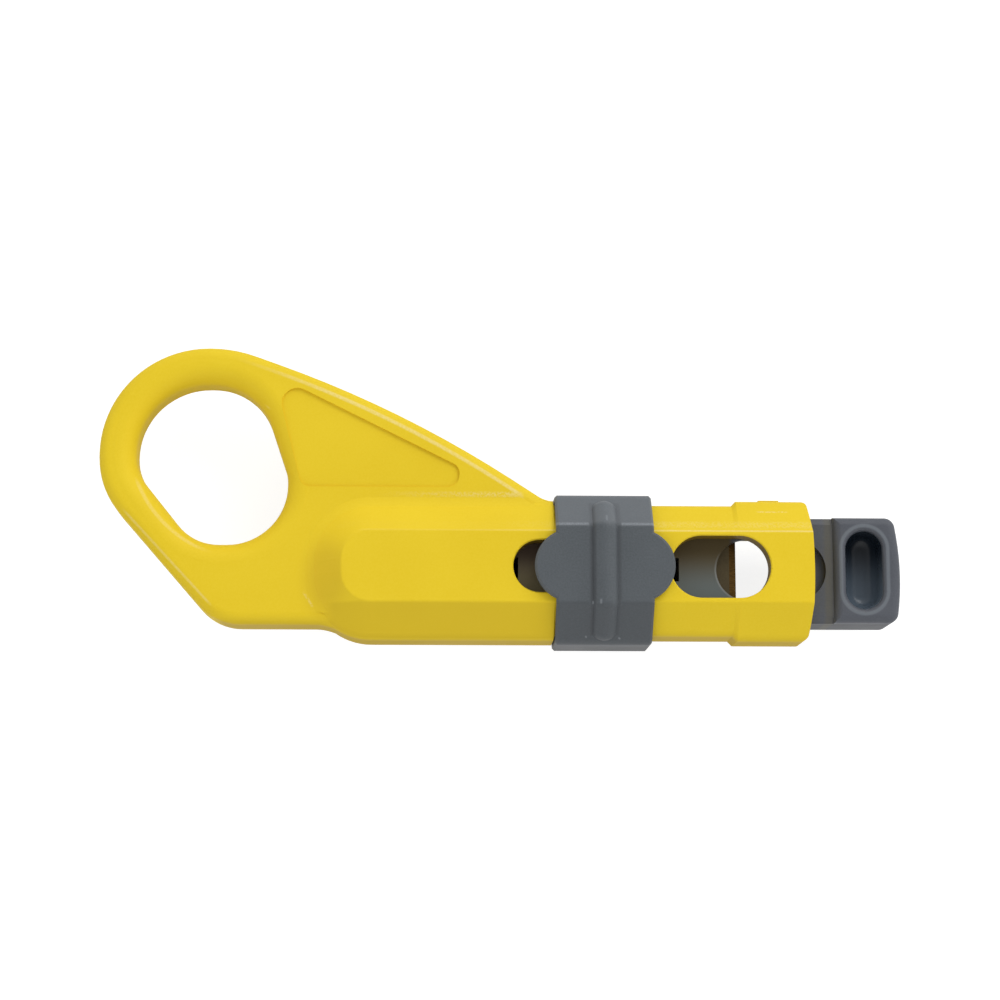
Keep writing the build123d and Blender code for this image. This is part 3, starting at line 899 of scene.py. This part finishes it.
# Floor: pale, lit as the tool is, and brought up to white for the camera
floorSettings = {
    "size": 4.0,
    "colour": (0.36, 0.36, 0.36, 1.0),
    "roughness": 0.9,
    "lift": 0.84,
}


def makeFloor():
    half = floorSettings["size"] / 2
    mesh = bpy.data.meshes.new("floor")
    mesh.from_pydata(
        [(-half, -half, 0), (half, -half, 0), (half, half, 0), (-half, half, 0)], [], [(0, 1, 2, 3)]
    )
    floor = bpy.data.objects.new("floor", mesh)
    bpy.context.scene.collection.objects.link(floor)
    material, tree, shader = newMaterial("floorPaper")
    shader.inputs["Base Color"].default_value = floorSettings["colour"]
    shader.inputs["Roughness"].default_value = floorSettings["roughness"]
    shader.inputs["Specular IOR Level"].default_value = 0.0
    path = tree.nodes.new("ShaderNodeLightPath").outputs
    seen = mathNode(tree, "MAXIMUM", path["Is Camera Ray"], path["Is Glossy Ray"])
    seen = mathNode(tree, "MAXIMUM", seen, path["Is Transmission Ray"])
    lift = mathNode(tree, "MULTIPLY", seen, floorSettings["lift"])
    shader.inputs["Emission Color"].default_value = (1, 1, 1, 1)
    tree.links.new(lift, shader.inputs["Emission Strength"])
    mesh.materials.append(material)


makeFloor()

# Studio light: a dome that is brighter near the horizon and on the low side, a key panel from
# the ring's high side, and a weak fill
lightSettings = {
    "dome": (1.1, 0.93),  # strength on the low side and on the ring's high side
    "height": (1.5, 0.42),  # of that at the horizon and overhead
    "panels": [
        {"name": "keyPanel", "at": (0.5, 0.75, 0.7), "size": 0.7, "watts": 5.6},
        {"name": "fillPanel", "at": (0.2, -0.7, 1.1), "size": 0.9, "watts": 0.8},
    ],
    "aimedAt": (0, 0, 0.01),
}


def aimAt(thing, target):
    direction = Vector(target) - thing.location
    thing.rotation_mode = "QUATERNION"
    thing.rotation_quaternion = direction.to_track_quat("-Z", "Y")


world = bpy.data.worlds.new("studio")
world.use_nodes = True
sky = world.node_tree
dome = sky.nodes["Background"]
dome.inputs["Color"].default_value = (1, 1, 1, 1)
skyPoint = sky.nodes.new("ShaderNodeSeparateXYZ")
put(sky, sky.nodes.new("ShaderNodeTexCoord").outputs["Generated"], skyPoint.inputs[0])
level = mapRange(sky, skyPoint.outputs["Y"], -1.0, 1.0, *lightSettings["dome"])
byHeight = mapRange(sky, skyPoint.outputs["Z"], 0.0, 1.0, *lightSettings["height"])
put(sky, mathNode(sky, "MULTIPLY", level, byHeight), dome.inputs["Strength"])
bpy.context.scene.world = world
for panel in lightSettings["panels"]:
    lamp = bpy.data.lights.new(panel["name"], "AREA")
    lamp.shape = "SQUARE"
    lamp.size = panel["size"]
    lamp.energy = panel["watts"]
    stand = bpy.data.objects.new(panel["name"], lamp)
    bpy.context.scene.collection.objects.link(stand)
    stand.location = panel["at"]
    aimAt(stand, lightSettings["aimedAt"])
print("light: dome and", len(lightSettings["panels"]), "panels")

# Camera: nearly straight above, a little from the low side
cameraSettings = {
    "atMm": (-12.85, -56.4, 405.0),
    "targetMm": (0.0, 11.9, 0.0),
    "spanMm": 160.6,  # width that the picture shows at the tool's middle
    "sensorMm": 36.0,
    "nearest": 0.01,
    "farthest": 20.0,
}
cameraData = bpy.data.cameras.new("camera")
camera = bpy.data.objects.new("camera", cameraData)
bpy.context.scene.collection.objects.link(camera)
camera.location = tubeOrigin + Vector(cameraSettings["atMm"]) * mm
target = tubeOrigin + Vector(cameraSettings["targetMm"]) * mm
distance = (target - camera.location).length
cameraData.sensor_width = cameraSettings["sensorMm"]
cameraData.lens = cameraData.sensor_width * distance / (cameraSettings["spanMm"] * mm)
cameraData.clip_start = cameraSettings["nearest"]
cameraData.clip_end = cameraSettings["farthest"]
back = (camera.location - target).normalized()
right = Vector((0, 1, 0)).cross(back).normalized()
up = back.cross(right)
camera.rotation_mode = "QUATERNION"
camera.rotation_quaternion = Matrix((right, up, back)).transposed().to_quaternion()
bpy.context.scene.camera = camera

bpy.context.scene.view_settings.view_transform = "Standard"
